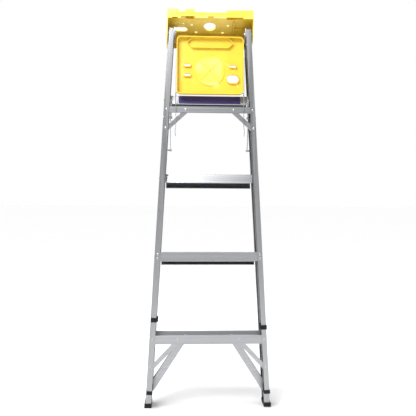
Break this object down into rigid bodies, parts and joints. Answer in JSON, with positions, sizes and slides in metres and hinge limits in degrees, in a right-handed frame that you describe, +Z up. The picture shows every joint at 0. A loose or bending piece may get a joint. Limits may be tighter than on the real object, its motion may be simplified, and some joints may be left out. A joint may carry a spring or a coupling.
{
  "type": "step ladder",
  "caption": "Folded aluminium step ladder with four treads, a yellow moulded top cap and a fold-out work tray on the rear section.",
  "frame": {"origin": "middle of the bounding box at floor level, with the front feet on z = 0", "axes": "+Z up along the folded ladder, +X to the right seen from behind, -Y towards the rear section and +Y towards the climbing side"},
  "size_m": [0.516, 0.1477, 1.604],
  "materials": {
    "rail_aluminium": "extruded satin",
    "aluminium": "extruded satin",
    "steel": "zinc plated",
    "yellow_plastic": "moulded satin",
    "black_plastic": "matt",
    "blue_panel": "satin film"
  },
  "bodies": {
    "front_frame": {"front_rail_left": "rail_aluminium", "front_rail_right": "rail_aluminium", "tread_brace_left": "aluminium", "tread_brace_right": "aluminium", "front_foot_left": "black_plastic", "front_foot_right": "black_plastic", "cap_bracket_left": "steel", "cap_bracket_right": "steel", "pivot_bolt_left": "steel", "pivot_bolt_right": "steel", "spreader_bolt_front_left": "steel", "spreader_bolt_front_right": "steel", "tread_1": "aluminium", "tread_2": "aluminium", "tread_3": "aluminium", "tread_4": "aluminium", "top_cap": "yellow_plastic", "tread_label": "blue_panel"},
    "rear_frame": {"rear_rail_left": "rail_aluminium", "rear_rail_right": "rail_aluminium", "rear_brace_top_left": "aluminium", "rear_brace_top_right": "aluminium", "rear_brace_bottom_left": "aluminium", "rear_brace_bottom_right": "aluminium", "rear_foot_left": "black_plastic", "rear_foot_right": "black_plastic", "keeper_left": "black_plastic", "keeper_right": "black_plastic", "spreader_bolt_rear_left": "steel", "spreader_bolt_rear_right": "steel", "tray_hanger_left": "steel", "tray_hanger_right": "steel", "rear_bar_top": "aluminium", "rear_bar_middle": "aluminium", "rear_bar_bottom": "aluminium"},
    "tray": {"tray": "yellow_plastic"},
    "spreader_front_left": {"spreader_front_left": "steel"},
    "spreader_rear_left": {"spreader_rear_left": "steel"},
    "tray_stay_left": {"tray_stay_left": "steel"},
    "spreader_front_right": {"spreader_front_right": "steel"},
    "spreader_rear_right": {"spreader_rear_right": "steel"},
    "tray_stay_right": {"tray_stay_right": "steel"}
  },
  "joints": [
    {"name": "rear_fold", "type": "hinge", "parent": "front_frame", "child": "rear_frame", "pos_m": [0, -0.03015, 1.515], "axis": [-1, 0, 0], "range_deg": [0, 29.5]},
    {"name": "spreader_front_turn_left", "type": "hinge", "parent": "front_frame", "child": "spreader_front_left", "pos_m": [-0.1583, 0.02385, 1.048], "axis": [1, 0, 0], "range_deg": [0, 38.07]},
    {"name": "spreader_rear_turn_left", "type": "hinge", "parent": "rear_frame", "child": "spreader_rear_left", "pos_m": [-0.1549, -0.02415, 1.176], "axis": [-1, 0, 0], "range_deg": [0, 99.44]},
    {"name": "spreader_front_turn_right", "type": "hinge", "parent": "front_frame", "child": "spreader_front_right", "pos_m": [0.1583, 0.02385, 1.048], "axis": [1, 0, 0], "range_deg": [0, 38.07]},
    {"name": "spreader_rear_turn_right", "type": "hinge", "parent": "rear_frame", "child": "spreader_rear_right", "pos_m": [0.1549, -0.02415, 1.176], "axis": [-1, 0, 0], "range_deg": [0, 99.44]},
    {"name": "tray_fold", "type": "hinge", "parent": "rear_frame", "child": "tray", "pos_m": [0, -0.03715, 1.275], "axis": [1, 0, 0], "range_deg": [0, 90]},
    {"name": "tray_stay_turn_left", "type": "hinge", "parent": "tray", "child": "tray_stay_left", "pos_m": [-0.1363, -0.04665, 1.417], "axis": [-1, 0, 0], "range_deg": [0, 62]},
    {"name": "tray_stay_turn_right", "type": "hinge", "parent": "tray", "child": "tray_stay_right", "pos_m": [0.1363, -0.04665, 1.417], "axis": [-1, 0, 0], "range_deg": [0, 62]}
  ],
  "couplings": [
    {"joint": "spreader_front_turn_left", "follows": "rear_fold", "ratio": 1.2888},
    {"joint": "spreader_rear_turn_left", "follows": "rear_fold", "ratio": 3.3691},
    {"joint": "spreader_front_turn_right", "follows": "rear_fold", "ratio": 1.2888},
    {"joint": "spreader_rear_turn_right", "follows": "rear_fold", "ratio": 3.3691},
    {"joint": "tray_stay_turn_left", "follows": "tray_fold", "ratio": 0.68},
    {"joint": "tray_stay_turn_right", "follows": "tray_fold", "ratio": 0.68}
  ]
}
